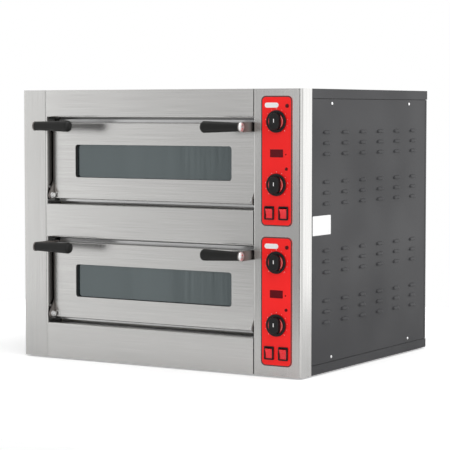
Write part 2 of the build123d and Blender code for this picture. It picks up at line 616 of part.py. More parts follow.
PANEL_FRONT = -PANEL_T          # depth of the panels' outer face, behind the front face
KNOB_BACK = PANEL_FRONT - 1
KNOB_TIP = KNOB_BACK - KNOB_REACH
THERMOSTAT_Y, THERMOSTAT_D = SHEET + 8, 32
BEZEL_INNER_W, BEZEL_INNER_H = ROCKER_W + 1, ROCKER_H + 4
HOUSING_D = 24

for deck, top in PANEL_TOPS.items():
    with BuildPart() as control_panel:
        with BuildSketch(front_at(0)):
            with Locations((PANEL_X, top - PANEL_H / 2)):
                with Locations((0, PANEL_RISE)):
                    RectangleRounded(PANEL_W, PANEL_H, PANEL_R)
            for drop in KNOB_DROPS:
                with Locations((PANEL_X, top - drop)):
                    Circle(SHAFT_R + 3, mode=Mode.SUBTRACT)
            for x, drop, radius in LAMPS:
                with Locations((PANEL_X + x, top - drop)):
                    Circle(radius + 0.2, mode=Mode.SUBTRACT)
            with Locations((PANEL_X, top - DISPLAY_DROP)):
                Rectangle(DISPLAY_W + 0.4, DISPLAY_H + 0.4, mode=Mode.SUBTRACT)
            for side in (-1, 1):
                with Locations((PANEL_X + side * ROCKER_SPREAD, top - ROCKER_DROP)):
                    Rectangle(BEZEL_W - 3, BEZEL_H - 3, mode=Mode.SUBTRACT)
        extrude(amount=PANEL_T)
    write(control_panel.part, f"{deck}_control_panel")

    for place, drop in zip(("ceiling", "floor"), KNOB_DROPS):
        hub = (PANEL_X, top - drop)
        with BuildPart() as knob:
            with BuildSketch(front_at(KNOB_BACK)):
                with Locations(hub):
                    Circle(KNOB_R)
            extrude(amount=KNOB_SKIRT)
            fillet(knob.faces().sort_by(Axis.Y)[0].edges(), 1.5)
            with BuildSketch(front_at(KNOB_BACK - KNOB_SKIRT)):
                with Locations(hub):
                    Circle(KNOB_R - 5)
                    Circle(KNOB_R - 6, mode=Mode.SUBTRACT)
            extrude(amount=-1, mode=Mode.SUBTRACT)
            with BuildSketch(front_at(KNOB_BACK - KNOB_SKIRT)):
                with Locations(hub):
                    RectangleRounded(31, 44, 13)
            with BuildSketch(front_at(KNOB_TIP)):
                with Locations(hub):
                    RectangleRounded(28, 42, 12)
            loft()
            fillet(knob.faces().sort_by(Axis.Y)[0].edges(), 1.5)
            with BuildSketch(front_at(KNOB_BACK)):
                with Locations(hub):
                    Circle(SHAFT_R)
            extrude(amount=-(THERMOSTAT_Y + 14 - KNOB_BACK))
        write(knob.part, f"{deck}_{place}_knob")

    for place, side in (("left", -1), ("right", 1)):
        axle = (PANEL_X + side * ROCKER_SPREAD, FRONT + ROCKER_PIVOT_Y, top - ROCKER_DROP)
        lean = Vector(0, 1, 0).rotate(Axis.X, ROCKER_TILT)
        with BuildPart() as rocker:
            with BuildSketch(Plane(axle, x_dir=lean, z_dir=(1, 0, 0))):
                with BuildLine():
                    Polyline((8, 5), (0, ROCKER_H / 2 - 1), (-8, ROCKER_H / 2))
                    ThreePointArc((-8, ROCKER_H / 2), (-6, 0), (-8, -ROCKER_H / 2))
                    Polyline((-8, -ROCKER_H / 2), (0, 1 - ROCKER_H / 2), (8, -5), (8, 5))
                make_face()
            extrude(amount=ROCKER_W / 2, both=True)
            fillet(rocker.edges().filter_by(Axis.X).group_by(Axis.Y)[0], 0.8)
            with BuildSketch(Plane(axle, x_dir=lean, z_dir=(1, 0, 0))):
                Circle(ROCKER_PIN_R)
            extrude(amount=BEZEL_INNER_W / 2 + 1, both=True)
        write(rocker.part, f"{deck}_{place}_rocker")

with BuildPart() as temperature_displays:
    for top in PANEL_TOPS.values():
        with BuildSketch(front_at(PANEL_FRONT - 1)):
            with Locations((PANEL_X, top - DISPLAY_DROP)):
                RectangleRounded(DISPLAY_W, DISPLAY_H, 1)
        extrude(amount=-18)
    chamfer(temperature_displays.faces().group_by(Axis.Y)[0].edges(), 0.5)
write(temperature_displays.part, "temperature_displays")

with BuildPart() as pilot_lamps:
    for top in PANEL_TOPS.values():
        for x, drop, radius in LAMPS:
            with BuildSketch(front_at(PANEL_FRONT - 0.6 * radius)):
                with Locations((PANEL_X + x, top - drop)):
                    Circle(radius)
            extrude(amount=-(12 + 0.6 * radius))
            fillet(pilot_lamps.faces(Select.LAST).sort_by(Axis.Y)[0].edges(), 0.5 * radius)
write(pilot_lamps.part, "pilot_lamps")

with BuildPart() as thermostat_bodies:
    for top in PANEL_TOPS.values():
        for drop in KNOB_DROPS:
            with BuildSketch(front_at(THERMOSTAT_Y)):
                with Locations((PANEL_X, top - drop)):
                    RectangleRounded(44, 44, 3)
            extrude(amount=-THERMOSTAT_D)
            with BuildSketch(front_at(THERMOSTAT_Y)):
                with Locations((PANEL_X, top - drop)):
                    Circle(SHAFT_R + 2.6)
            extrude(amount=THERMOSTAT_Y)
            with BuildSketch(front_at(0)):
                with Locations((PANEL_X, top - drop)):
                    Circle(SHAFT_R + RUNNING)
            extrude(amount=-(THERMOSTAT_Y + 16), mode=Mode.SUBTRACT)
write(thermostat_bodies.part, "thermostat_bodies")

with BuildPart() as switch_bezels:
    for top in PANEL_TOPS.values():
        for side in (-1, 1):
            middle = (PANEL_X + side * ROCKER_SPREAD, top - ROCKER_DROP)
            with BuildSketch(front_at(PANEL_FRONT)):
                with Locations(middle):
                    RectangleRounded(BEZEL_W, BEZEL_H, 2.5)
            extrude(amount=BEZEL_T)
            fillet(switch_bezels.faces(Select.LAST).sort_by(Axis.Y)[0].edges(), 1)
            with BuildSketch(front_at(PANEL_FRONT)):
                with Locations(middle):
                    Rectangle(BEZEL_W - 4, BEZEL_H - 4)
            extrude(amount=-HOUSING_D)
            with BuildSketch(front_at(PANEL_FRONT - BEZEL_T)):
                with Locations(middle):
                    RectangleRounded(BEZEL_INNER_W, BEZEL_INNER_H, 0.4)
            extrude(amount=-(HOUSING_D + BEZEL_T - 3), mode=Mode.SUBTRACT)
            with BuildSketch(side_at(middle[0])):
                with Locations((FRONT + ROCKER_PIVOT_Y, middle[1])):
                    Circle(ROCKER_PIN_R + RUNNING)
            extrude(amount=BEZEL_W / 2, both=True, mode=Mode.SUBTRACT)
write(switch_bezels.part, "switch_bezels")

with BuildPart() as terminal_block:
    with BuildSketch(front_at(DEPTH - SHEET - CLEAR)):
        with Locations((GLAND_X, GLAND_Z + 70)):
            RectangleRounded(60, 34, 2)
    extrude(amount=22)
    with BuildSketch(front_at(DEPTH - SHEET - CLEAR - 22)):
        with Locations((GLAND_X, GLAND_Z + 70)):
            with GridLocations(12, 0, 4, 1):
                Circle(3.5)
    extrude(amount=-8, mode=Mode.SUBTRACT)
write(terminal_block.part, "terminal_block")

with BuildPart() as cable_gland:
    with BuildSketch(Plane((GLAND_X, REAR, GLAND_Z), x_dir=(1, 0, 0), z_dir=(0, 1, 0))):
        RegularPolygon(17, 6)
    extrude(amount=7)
    with BuildSketch(Plane((GLAND_X, REAR - SHEET, GLAND_Z), x_dir=(1, 0, 0), z_dir=(0, -1, 0))):
        RegularPolygon(17, 6)
    extrude(amount=5)
    with BuildSketch(front_at(DEPTH + 7)):
        with Locations((GLAND_X, GLAND_Z)):
            Circle(GLAND_R)
    extrude(amount=7 + 12)
    with BuildSketch(front_at(DEPTH + 7)):
        with Locations((GLAND_X, GLAND_Z)):
            Circle(14)
    extrude(amount=-(GLAND_PROUD - 7))
    fillet(cable_gland.faces().sort_by(Axis.Y)[-1].edges(), 4)
    with BuildSketch(front_at(DEPTH + GLAND_PROUD)):
        with Locations((GLAND_X, GLAND_Z)):
            Circle(CABLE_R)
    extrude(amount=GLAND_PROUD + 12, mode=Mode.SUBTRACT)
write(cable_gland.part, "cable_gland")

PLATE_FROM, PLATE_TO, PLATE_LOW, PLATE_HIGH = 57.5, 156, 364, 415
with BuildPart() as rating_plate:
    with BuildSketch(side_at(RIGHT)):
        with Locations((FRONT + (PLATE_FROM + PLATE_TO) / 2, FOOT + (PLATE_LOW + PLATE_HIGH) / 2)):
            RectangleRounded(PLATE_TO - PLATE_FROM, PLATE_HIGH - PLATE_LOW, 2)
    extrude(amount=0.4)
write(rating_plate.part, "rating_plate")
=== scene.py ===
import math

import bmesh
import bpy
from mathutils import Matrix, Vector


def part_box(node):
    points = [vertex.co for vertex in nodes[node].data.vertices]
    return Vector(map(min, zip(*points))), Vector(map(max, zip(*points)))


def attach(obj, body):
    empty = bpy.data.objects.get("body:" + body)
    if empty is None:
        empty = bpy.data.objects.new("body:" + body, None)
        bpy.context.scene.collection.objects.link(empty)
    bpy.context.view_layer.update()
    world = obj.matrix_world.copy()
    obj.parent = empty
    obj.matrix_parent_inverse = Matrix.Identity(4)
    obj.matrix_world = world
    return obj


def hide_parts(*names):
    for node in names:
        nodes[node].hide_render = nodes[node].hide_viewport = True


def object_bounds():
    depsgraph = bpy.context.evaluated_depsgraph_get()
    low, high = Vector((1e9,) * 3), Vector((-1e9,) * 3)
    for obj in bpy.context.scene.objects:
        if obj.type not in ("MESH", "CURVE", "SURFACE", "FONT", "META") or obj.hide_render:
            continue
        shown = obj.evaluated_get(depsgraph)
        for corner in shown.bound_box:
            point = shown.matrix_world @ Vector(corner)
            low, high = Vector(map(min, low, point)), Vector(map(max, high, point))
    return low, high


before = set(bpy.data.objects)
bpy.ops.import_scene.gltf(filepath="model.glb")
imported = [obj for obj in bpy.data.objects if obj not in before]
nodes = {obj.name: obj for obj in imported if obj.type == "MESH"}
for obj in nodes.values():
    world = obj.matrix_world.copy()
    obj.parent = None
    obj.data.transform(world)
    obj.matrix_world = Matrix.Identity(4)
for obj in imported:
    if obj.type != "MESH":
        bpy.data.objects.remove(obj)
cad_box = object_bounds()

# A double-deck countertop pizza oven. Metres, in the CAD frame: +X right, +Y into the oven, +Z up.
MM = 0.001
DECKS = ("lower", "upper")
X, Y, Z = range(3)

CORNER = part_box("left_post")[0]     # front left bottom corner of the casing
FRONT_Y = CORNER.y
cover_low, cover_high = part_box("top_cover")
SIDE_X = cover_high.x - 8 * MM      # the outer side returns of the front sheets begin here


# ---------------------------------------------------------------- camera and light

CAMERA_FROM_CORNER = Vector((3.1443, -4.0230, 0.6873))
CAMERA_YAW, CAMERA_PITCH = math.radians(31.65), math.radians(3.616)
LENS_MM, SENSOR_MM = 144.3, 36
FARTHEST_SEEN = 60

camera_data = bpy.data.cameras.new("camera")
camera_data.lens = LENS_MM
camera_data.sensor_width = SENSOR_MM
camera_data.clip_end = FARTHEST_SEEN
camera = bpy.data.objects.new("camera", camera_data)
camera.location = CORNER + CAMERA_FROM_CORNER
camera.rotation_euler = (math.pi / 2 - CAMERA_PITCH, 0, CAMERA_YAW)
bpy.context.scene.collection.objects.link(camera)
bpy.context.scene.camera = camera


def soft_light(name, place, target, size, power):
    """An area light at place that faces target."""
    data = bpy.data.lights.new(name, "AREA")
    data.shape = "RECTANGLE"
    data.size, data.size_y = size
    data.energy = power
    light = bpy.data.objects.new(name, data)
    light.location = place
    light.rotation_euler = (Vector(target) - Vector(place)).to_track_quat("-Z", "Y").to_euler()
    bpy.context.scene.collection.objects.link(light)


middle = (cad_box[0] + cad_box[1]) / 2
soft_light("key", (-3.5, -2.7, 0.5), middle, (1.8, 3.2), 11)
soft_light("top", (0.2, -0.2, 3.2), middle, (2.6, 2.6), 27)
soft_light("column_glow", (-0.18, -1.65, 0.8), (0.42, -0.35, 0.8), (0.3, 0.65), 0.35)


# ---------------------------------------------------------------- node helpers

COLOR_A, COLOR_B, MIXED_COLOR = 6, 7, 2     # colour sockets of a Mix node


def map_range(tree, source, start, end, low=0, high=1):
    """source, from start to end, mapped to low..high."""
    node = tree.nodes.new("ShaderNodeMapRange")
    values = {"From Min": start, "From Max": end, "To Min": low, "To Max": high}
    for socket, value in values.items():
        node.inputs[socket].default_value = value
    tree.links.new(source, node.inputs["Value"])
    return node.outputs["Result"]


def ramp(tree, source, stops):
    """A colour ramp over source; stops are (position, grey or colour)."""
    node = tree.nodes.new("ShaderNodeValToRGB")
    elements = node.color_ramp.elements
    for position, _ in stops[1:-1]:
        elements.new(position)
    for element, (position, color) in zip(elements, stops):
        element.position = position
        element.color = (*color, 1) if isinstance(color, tuple) else (color, color, color, 1)
    tree.links.new(source, node.inputs["Fac"])
    return node.outputs["Color"]


def is_camera_ray(tree):
    return tree.nodes.new("ShaderNodeLightPath").outputs["Is Camera Ray"]


def calculate(tree, operation, *values):
    node = tree.nodes.new("ShaderNodeMath")
    node.operation = operation
    for value, socket in zip(values, node.inputs):
        tree.links.new(value, socket)
    return node.outputs[0]


# ---------------------------------------------------------------- studio walls

# The walls that the steel mirrors, by world X from -1 to 1: pale, with a dark stretch in front of the oven.
WALLS = (
    (0.0, 0.9), (0.19, 0.96), (0.225, 1.16), (0.265, 0.2), (0.42, 0.12), (0.55, 0.5), (0.66, 1.3),
    (0.76, 2.0), (0.86, 1.3), (1.0, 1.1),
)


def studio():
    """A world that lights the oven with the walls; the camera itself sees plain white."""
    world = bpy.data.worlds.new("studio")
    world.use_nodes = True
    sky = world.node_tree
    direction = sky.nodes.new("ShaderNodeTexCoord")
    split = sky.nodes.new("ShaderNodeSeparateXYZ")
    sky.links.new(direction.outputs["Generated"], split.inputs["Vector"])
    walls = ramp(sky, map_range(sky, split.outputs["X"], -1, 1), WALLS)
    seen = sky.nodes.new("ShaderNodeMix")
    seen.data_type = "RGBA"
    seen.inputs[COLOR_B].default_value = (1, 1, 1, 1)
    sky.links.new(is_camera_ray(sky), seen.inputs["Factor"])
    sky.links.new(walls, seen.inputs[COLOR_A])
    sky.links.new(seen.outputs[MIXED_COLOR], sky.nodes["Background"].inputs["Color"])
    return world


bpy.context.scene.world = studio()
bpy.context.scene.view_settings.view_transform = "Standard"


# ---------------------------------------------------------------- materials

def material(name, color, roughness, metallic=0.0):
    """A Principled material with these constant values; returns it with its node tree and shader."""
    made = bpy.data.materials.new(name)
    made.use_nodes = True
    tree = made.node_tree
    shader = tree.nodes["Principled BSDF"]
    shader.inputs["Base Color"].default_value = (*color, 1)
    shader.inputs["Roughness"].default_value = roughness
    shader.inputs["Metallic"].default_value = metallic
    return made, tree, shader


def noise(tree, scale, stretch=(1, 1, 1), detail=4, roughness=0.55):
    """Noise over the object's own coordinates, in metres, stretched by a scale along each axis."""
    place = tree.nodes.new("ShaderNodeTexCoord")
    mapping = tree.nodes.new("ShaderNodeMapping")
    mapping.inputs["Scale"].default_value = stretch
    texture = tree.nodes.new("ShaderNodeTexNoise")
    texture.inputs["Scale"].default_value = scale
    texture.inputs["Detail"].default_value = detail
    texture.inputs["Roughness"].default_value = roughness
    tree.links.new(place.outputs["Object"], mapping.inputs["Vector"])
    tree.links.new(mapping.outputs["Vector"], texture.inputs["Vector"])
    return texture.outputs["Fac"]


def spread(tree, source, low, high):
    """The middle of a noise, from 0.3 to 0.7, mapped to low..high."""
    return map_range(tree, source, 0.3, 0.7, low, high)


def drifting(color, drift):
    """The colour, a little darker and a little lighter."""
    return tuple((1 - drift) * c for c in color), tuple((1 + drift) * c for c in color)


def multiply(tree, color, factor):
    node = tree.nodes.new("ShaderNodeMix")
    node.data_type = "RGBA"
    node.blend_type = "MULTIPLY"
    node.inputs["Factor"].default_value = 1
    tree.links.new(color, node.inputs[COLOR_A])
    tree.links.new(factor, node.inputs[COLOR_B])
    return node.outputs[MIXED_COLOR]


def doorway_painted_shade(tree, depth, level):
    """White on the front and the outer returns; grey, down to level, deeper behind the front than depth:
    painted shade for the shadow inside the doorways.
    """
    fade = 4 * MM
    place = tree.nodes.new("ShaderNodeTexCoord")
    parts = tree.nodes.new("ShaderNodeSeparateXYZ")
    tree.links.new(place.outputs["Object"], parts.inputs["Vector"])
    behind = map_range(tree, parts.outputs["Y"], FRONT_Y + depth, FRONT_Y + depth + fade)
    sideways = calculate(tree, "ABSOLUTE", parts.outputs["X"])
    within = map_range(tree, sideways, SIDE_X + fade, SIDE_X)
    return ramp(tree, calculate(tree, "MULTIPLY", behind, within), ((0.0, 1.0), (1.0, level)))


def bump(tree, shader, height, distance, strength=0.5):
    node = tree.nodes.new("ShaderNodeBump")
    node.inputs["Distance"].default_value = distance
    node.inputs["Strength"].default_value = strength
    tree.links.new(height, node.inputs["Height"])
    tree.links.new(node.outputs["Normal"], shader.inputs["Normal"])


def along_grain(grain, across, along):
    """Noise scales for a pattern drawn out along the grain axis."""
    scales = [across, across, across]
    scales[grain] = along
    return tuple(scales)


def brushed(name, grey, grain, roughness=(0.3, 0.42), tint=(1, 1, 1), painted_shade=None):
    """Brushed sheet steel: fine lines along the grain axis, broader bands and faint handling marks.

    The last argument, (depth, level), darkens it to level beyond that depth: painted shade for the shadow
    inside the doorways, where the jambs and door sides lie.
    """
    made, tree, shader = material(name, (grey, grey, grey), 0.35, 1.0)
    lines = noise(tree, 1, along_grain(grain, 900, 6), 6)
    bands = noise(tree, 1, along_grain(grain, 60, 1.2), 3)
    clouds = noise(tree, 3.5, detail=1)
    marks = noise(tree, 4, detail=0)
    low, high = drifting(tuple(grey * c for c in tint), 0.08)
    color = ramp(tree, lines, ((0.3, low), (0.7, high)))
    color = multiply(tree, color, ramp(tree, bands, ((0.35, 0.975), (0.65, 1.0))))
    color = multiply(tree, color, ramp(tree, clouds, ((0.2, 0.95), (0.8, 1.0))))
    # Painted shade: the steel turns darker deeper inside the doorways.
    if painted_shade:
        color = multiply(tree, color, doorway_painted_shade(tree, *painted_shade))
    tree.links.new(color, shader.inputs["Base Color"])
    tree.links.new(ramp(tree, marks, tuple(zip((0.1, 0.9), roughness))), shader.inputs["Roughness"])
    bump(tree, shader, lines, 0.0001, 0.3)
    return made


def painted(name, color, roughness, peel=1500, height=0.00003, specular=0.5):
    """Sprayed, powder or printed paint: orange peel, a slightly uneven gloss and a little colour drift."""
    made, tree, shader = material(name, color, 0.45)
    shader.inputs["Specular IOR Level"].default_value = specular
    dark, light = drifting(color, 0.08)
    drift = noise(tree, 3, detail=1)
    tree.links.new(ramp(tree, drift, ((0.2, dark), (0.8, light))), shader.inputs["Base Color"])
    tree.links.new(spread(tree, noise(tree, 5, detail=1), *roughness), shader.inputs["Roughness"])
    bump(tree, shader, noise(tree, peel, detail=2), height, 0.4)
    return made


def moulded(name, color, roughness, grain=1800, height=0.00008, specular=0.5):
    """Moulded plastic or rubber: fine spark-eroded grain and a faintly uneven gloss."""
    made, tree, shader = material(name, color, 0.35)
    shader.inputs["Specular IOR Level"].default_value = specular
    tree.links.new(spread(tree, noise(tree, 40), *roughness), shader.inputs["Roughness"])
    dark, light = drifting(color, 0.1)
    tree.links.new(ramp(tree, noise(tree, 25), ((0.35, dark), (0.65, light))), shader.inputs["Base Color"])
    bump(tree, shader, noise(tree, grain, detail=2), height, 0.3)
    return made


def mineral(name, dark, light, scale, height):
    """Stone, wool or braided glass: speckled colour and a rough relief."""
    made, tree, shader = material(name, light, 0.9)
    speckle = noise(tree, scale, detail=8, roughness=0.7)
    tree.links.new(ramp(tree, speckle, ((0.35, dark), (0.62, light))), shader.inputs["Base Color"])
    bump(tree, shader, speckle, height, 0.8)
    return made


def glazing(name):
    """Reflective tempered glass, grey-green, drawn with faint upright waves; the chamber only just shows."""
    made, tree, shader = material(name, (0.018, 0.026, 0.028), 0.1)
    shader.inputs["Alpha"].default_value = 0.9
    shader.inputs["IOR"].default_value = 2.1
    shader.inputs["Specular Tint"].default_value = (0.86, 0.98, 1, 1)
    dark, light = (0.015, 0.022, 0.024), (0.021, 0.03, 0.032)
    haze = noise(tree, 5, detail=3)
    tree.links.new(ramp(tree, haze, ((0.3, dark), (0.7, light))), shader.inputs["Base Color"])
    waves = noise(tree, 1, (24, 24, 1.4), 3)
    tree.links.new(spread(tree, waves, 0.07, 0.16), shader.inputs["Roughness"])
    bump(tree, shader, waves, 0.0008, 0.5)
    return made


WARM, REDDISH = (1.0, 0.992, 0.972), (1.06, 0.97, 0.92)
SATIN = (0.22, 0.28)
steel_across = brushed("steel_grain_across", 0.61, X, SATIN, WARM)
# The door skin and the uprights carry painted shade: their steel turns darker deep in the doorways, where
# they lie in shadow.
steel_door = brushed("steel_grain_across_door", 0.62, X, SATIN, WARM, painted_shade=(26 * MM, 0.3))
steel_upright = brushed("steel_grain_upright", 0.57, Z, SATIN, WARM, painted_shade=(3 * MM, 0.22))
# The arms' steel is dark and reddish-brown; part of that darkness is painted shade for the shadowed gaps
# beside the doors where the arms run.
steel_bar = brushed("steel_bar", 0.215, Z, (0.35, 0.5), REDDISH)
zinc = brushed("zinc_plate", 0.55, Z, (0.3, 0.45))
chamber_steel = brushed("chamber_steel", 0.42, Y, (0.35, 0.5))
liner_steel = brushed("liner_steel", 0.6, X, (0.2, 0.3))
sheath = brushed("element_sheath", 0.16, Y, (0.5, 0.65))
chrome = brushed("polished_plate", 0.82, Z, (0.1, 0.2))
bolt_steel = brushed("bolt_steel", 0.8, Z, (0.32, 0.42))
grey_paint = painted("dark_grey_paint", (0.0175, 0.0178, 0.0205), (0.4, 0.5), 700, 0.0001, 0.33)
red_panel = painted("red_panel", (0.94, 0.011, 0.01), (0.34, 0.42), specular=0.3)
black_outline = painted("panel_outline", (0.035, 0.03, 0.028), (0.3, 0.4))
black_plastic = moulded("black_plastic", (0.006, 0.006, 0.0065), (0.28, 0.4), specular=0.3)
grip_plastic = moulded("grip_plastic", (0.0075, 0.0075, 0.007), (0.42, 0.52), 1200, specular=0.28)
black_rubber = moulded("black_rubber", (0.02, 0.02, 0.02), (0.7, 0.85), 900, 0.0001)
red_plastic = moulded("rocker_red", (0.9, 0.02, 0.03), (0.25, 0.35))
knob_red = moulded("knob_face_red", (0.62, 0.03, 0.03), (0.18, 0.26))
# Pinkish ring on each knob: a painted highlight where the skirt's rim catches the light.
knob_painted_highlight = painted("knob_painted_highlight", (0.8, 0.3, 0.28), (0.3, 0.4), height=0.00002)
display_dark = moulded("display_window", (0.11, 0.0, 0.004), (0.12, 0.2), specular=0.2)
lens_dark = moulded("pilot_lens", (0.08, 0.001, 0.002), (0.12, 0.2), specular=0.25)
white_print = painted("white_print", (0.86, 0.86, 0.86), (0.4, 0.5), height=0.00002)
label_film = painted("label_film", (0.82, 0.82, 0.82), (0.35, 0.5), 900)
stone = mineral("refractory_stone", (0.5, 0.44, 0.34), (0.76, 0.7, 0.58), 160, 0.0006)
wool = mineral("mineral_wool", (0.42, 0.38, 0.26), (0.72, 0.68, 0.5), 260, 0.002)
rope = mineral("glass_rope", (0.5, 0.49, 0.45), (0.8, 0.79, 0.74), 500, 0.0008)
glass = glazing("door_glass")

NODE_LOOKS = {
    "left_post": steel_upright, "control_column": steel_upright,
    "bottom_fascia": steel_across, "middle_fascia": steel_across, "top_fascia": steel_across,
    "base_tray": grey_paint, "top_cover": grey_paint, "back_panel": grey_paint,
    "left_side_panel": grey_paint, "right_side_panel": grey_paint,
    "chassis_frame": zinc, "casing_screws": chrome, "rubber_feet": black_rubber,
    "stone_supports": zinc, "chamber_insulation": wool, "door_seals": rope, "lamp_holders": zinc,
    "lamp_lenses": glass, "hinge_brackets": zinc, "temperature_displays": display_dark,
    "pilot_lamps": lens_dark, "thermostat_bodies": zinc, "switch_bezels": black_plastic,
    "terminal_block": black_plastic, "cable_gland": black_plastic, "rating_plate": label_film,
}
for deck in DECKS:
    NODE_LOOKS.update({
        f"{deck}_chamber": chamber_steel, f"{deck}_baking_stones": stone, f"{deck}_heating_elements": sheath,
        f"{deck}_control_panel": red_panel,
        f"{deck}_ceiling_knob": black_plastic, f"{deck}_floor_knob": black_plastic,
        f"{deck}_left_rocker": red_plastic, f"{deck}_right_rocker": red_plastic,
        f"{deck}_door_skin": steel_door, f"{deck}_door_liner": liner_steel,
        f"{deck}_window_frame": chamber_steel, f"{deck}_window_gasket": black_rubber,
        f"{deck}_door_glass": glass, f"{deck}_door_insulation": wool, f"{deck}_door_arms": steel_bar,
        f"{deck}_door_grips": grip_plastic, f"{deck}_door_fasteners": bolt_steel,
    })
for name, look in NODE_LOOKS.items():
    nodes[name].data.materials.clear()
    nodes[name].data.materials.append(look)


# ---------------------------------------------------------------- mesh helpers

SAME_POINT = 1e-6


def finish_mesh(name, mesh, look, body):
    """Turn a bmesh into a piece that rides on a body."""
    bmesh.ops.remove_doubles(mesh, verts=mesh.verts, dist=SAME_POINT)
    bmesh.ops.recalc_face_normals(mesh, faces=mesh.faces)
    data = bpy.data.meshes.new(name)
    mesh.to_mesh(data)
    mesh.free()
    data.materials.append(look)
    piece = bpy.data.objects.new(name, data)
    bpy.context.scene.collection.objects.link(piece)
    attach(piece, body)
    return piece


def rounded_outline(width, height, radius, steps=6):
    """Points of a rounded rectangle about the origin, counter-clockwise."""
    points = []
    for sx, sy, start in ((1, 1, 0), (-1, 1, 90), (-1, -1, 180), (1, -1, 270)):
        cx, cy = sx * (width / 2 - radius), sy * (height / 2 - radius)
        for step in range(steps + 1):
            angle = math.radians(start + 90 * step / steps)
            points.append((cx + radius * math.cos(angle), cy + radius * math.sin(angle)))
    return points


def front_plate(mesh, outline, center, y, thickness, hole=None):
    """Add a flat plate, or a frame if it has a hole, facing the user at depth y, standing thickness proud."""
    def loop_at(points, depth):
        return [mesh.verts.new((center[0] + u, depth, center[1] + v)) for u, v in points]

    def wall(first, second):
        for i in range(len(first)):
            j = (i + 1) % len(first)
            mesh.faces.new((first[i], first[j], second[j], second[i]))

    outer_back, outer_front = loop_at(outline, y), loop_at(outline, y - thickness)
    wall(outer_back, outer_front)
    if hole is None:
        mesh.faces.new(outer_front)
        mesh.faces.new(outer_back)
        return
    inner_back, inner_front = loop_at(hole, y), loop_at(hole, y - thickness)
    wall(inner_back, inner_front)
    wall(outer_front, inner_front)
    wall(outer_back, inner_back)


def circle(radius, steps=48):
    turns = [math.tau * step / steps for step in range(steps)]
    return [(radius * math.cos(turn), radius * math.sin(turn)) for turn in turns]


def add_box(mesh, low, high):
    """Add a closed box between two corners."""
    ends = list(zip(low, high))
    corners = [mesh.verts.new((x, y, z)) for x in ends[X] for y in ends[Y] for z in ends[Z]]
    for face in ((0, 1, 3, 2), (4, 6, 7, 5), (0, 4, 5, 1), (2, 3, 7, 6), (0, 2, 6, 4), (1, 5, 7, 3)):
        mesh.faces.new([corners[i] for i in face])


# ---------------------------------------------------------------- louvred side panels

LOUVRE_LENGTH, LOUVRE_HEIGHT, LOUVRE_OUT = 0.040, 0.0095, 0.0039
COLUMN_FIRST, COLUMN_PITCH, COLUMNS = 0.133, 0.103, 6
ROW_PITCH, ROWS_IN_GROUP, GROUP_TOPS = 0.0284, 3, (0.186, 0.318, 0.498, 0.628)
LOUVRE_COLUMNS = [COLUMN_FIRST + COLUMN_PITCH * column for column in range(COLUMNS)]
LOUVRE_ROWS = sorted(top - ROW_PITCH * row for top in GROUP_TOPS for row in range(ROWS_IN_GROUP))
LOUVRE_STEPS, LIP_STEPS = 14, 6
LOUVRE_CLEAR = 0.96     # an eyebrow's height as a share of its slot
PANEL_SHEET = 0.0012


def panel_lines(low, high):
    """Grid lines of a side panel along Y and Z, and whether each gap between them belongs to a louvre."""
    ys, in_column = [low.y], []
    for center in LOUVRE_COLUMNS:
        start, end = FRONT_Y + center - LOUVRE_LENGTH / 2, FRONT_Y + center + LOUVRE_LENGTH / 2
        in_column += [False] + [True] * LOUVRE_STEPS
        ys += [start + (end - start) * step / LOUVRE_STEPS for step in range(LOUVRE_STEPS + 1)]
    zs, in_row = [low.z], []
    for z in LOUVRE_ROWS:
        in_row += [False, True]
        zs += [CORNER.z + z, CORNER.z + z + LOUVRE_HEIGHT]
    return ys + [high.y], in_column + [False], zs + [high.z], in_row + [False]


def eyebrow(mesh, top_edge, z, face_x, side):
    """Add one pressed louvre: it bulges from its top edge out and down, and is open below at height z."""
    rings = []
    for step, vertex in enumerate(top_edge):
        from_middle = abs(2 * step / LOUVRE_STEPS - 1)
        bulge = math.sqrt(max(0.0, 1 - from_middle**5))
        ring = [vertex]
        for lip in range(LIP_STEPS + 1):
            turn = lip / LIP_STEPS * math.pi / 2
            out = LOUVRE_OUT * bulge * math.sin(turn)
            height = LOUVRE_HEIGHT * bulge * LOUVRE_CLEAR * math.cos(turn)
            ring.append(mesh.verts.new((face_x + side * out, vertex.co.y, z + height)))
        rings.append(ring)
    for a, b in zip(rings, rings[1:]):
        for k in range(LIP_STEPS + 1):
            mesh.faces.new((a[k], b[k], b[k + 1], a[k + 1]))


def louvred_panel(side):
    """A flat side panel sheet with rows of pressed eyebrow louvres; side is 1 on the right and -1 on the
    left.
    """
    name = "right_side_panel" if side > 0 else "left_side_panel"
    low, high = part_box(name)
    face_x = cover_high.x if side > 0 else cover_low.x
    ys, in_column, zs, in_row = panel_lines(low, high)

    mesh = bmesh.new()
    grid = [[mesh.verts.new((face_x, y, z)) for z in zs] for y in ys]
    for i, column in enumerate(in_column):
        for j, row in enumerate(in_row):
            if not (column and row):
                mesh.faces.new((grid[i][j], grid[i + 1][j], grid[i + 1][j + 1], grid[i][j + 1]))
    column_starts = [i for i in range(1, len(in_column)) if in_column[i] and not in_column[i - 1]]
    row_starts = [j for j, row in enumerate(in_row) if row]
    for first in column_starts:
        for j in row_starts:
            top_edge = [grid[first + step][j + 1] for step in range(LOUVRE_STEPS + 1)]
            eyebrow(mesh, top_edge, zs[j], face_x, side)
    bmesh.ops.remove_doubles(mesh, verts=mesh.verts, dist=SAME_POINT)
    bmesh.ops.dissolve_degenerate(mesh, edges=mesh.edges, dist=SAME_POINT / 10)
    piece = finish_mesh(name + "_pressed", mesh, grey_paint, "cabinet")
    for polygon in piece.data.polygons:
        polygon.use_smooth = abs(polygon.normal.x) < 0.999
    sheet = piece.modifiers.new("sheet", "SOLIDIFY")
    sheet.thickness = PANEL_SHEET
    sheet.offset = -1
    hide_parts(name)


for side in (1, -1):
    louvred_panel(side)


